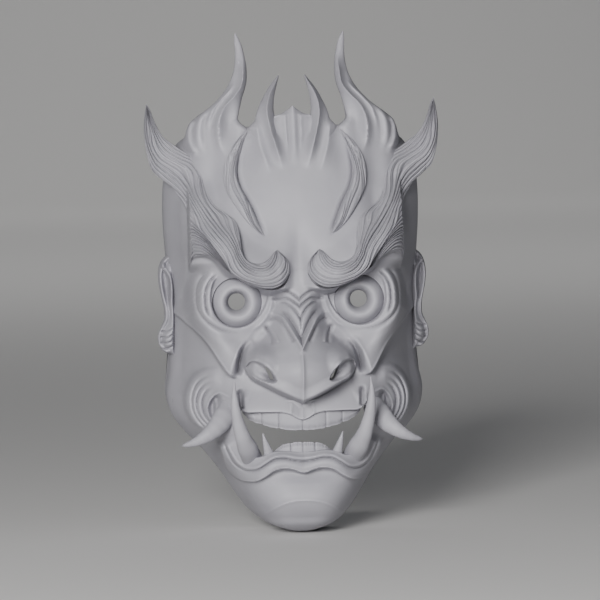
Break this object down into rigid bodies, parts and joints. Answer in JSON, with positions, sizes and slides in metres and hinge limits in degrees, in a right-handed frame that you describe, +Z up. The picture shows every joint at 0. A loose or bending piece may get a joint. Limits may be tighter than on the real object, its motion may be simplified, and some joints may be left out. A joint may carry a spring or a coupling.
{
  "type": "demon mask",
  "caption": "Hollow full-face oni mask in plain grey resin, with horns, flame-shaped hair, tusks, open pupils, an open mouth and strap slots in its side walls.",
  "frame": {"origin": "on the rear rim plane, on the symmetry plane, level with the pupils", "axes": "+Z up along the face, +Y to the rear towards the wearer, +X to the mask's own left; the face looks along -Y"},
  "size_m": [0.1724, 0.1288, 0.2896],
  "materials": {
    "grey_resin": "unpainted light grey resin, satin, with faint print layers"
  },
  "bodies": {
    "root": {"face_shell_left": "grey_resin", "face_shell_right": "grey_resin", "forehead_shell_left": "grey_resin", "forehead_shell_right": "grey_resin", "jaw_shell_left": "grey_resin", "jaw_shell_right": "grey_resin", "brow_hair_left": "grey_resin", "brow_hair_right": "grey_resin", "forehead_lock_left": "grey_resin", "forehead_lock_right": "grey_resin", "flame_horn_left": "grey_resin", "flame_horn_right": "grey_resin", "crest_horn_left": "grey_resin", "crest_horn_right": "grey_resin", "ear_left": "grey_resin", "ear_right": "grey_resin", "eyeball_left": "grey_resin", "eyeball_right": "grey_resin", "lower_tusk_left": "grey_resin", "lower_tusk_right": "grey_resin", "side_tusk_left": "grey_resin", "side_tusk_right": "grey_resin", "small_fang_left": "grey_resin", "small_fang_right": "grey_resin", "crest_peak": "grey_resin", "upper_teeth": "grey_resin", "lower_teeth": "grey_resin"}
  },
  "joints": []
}
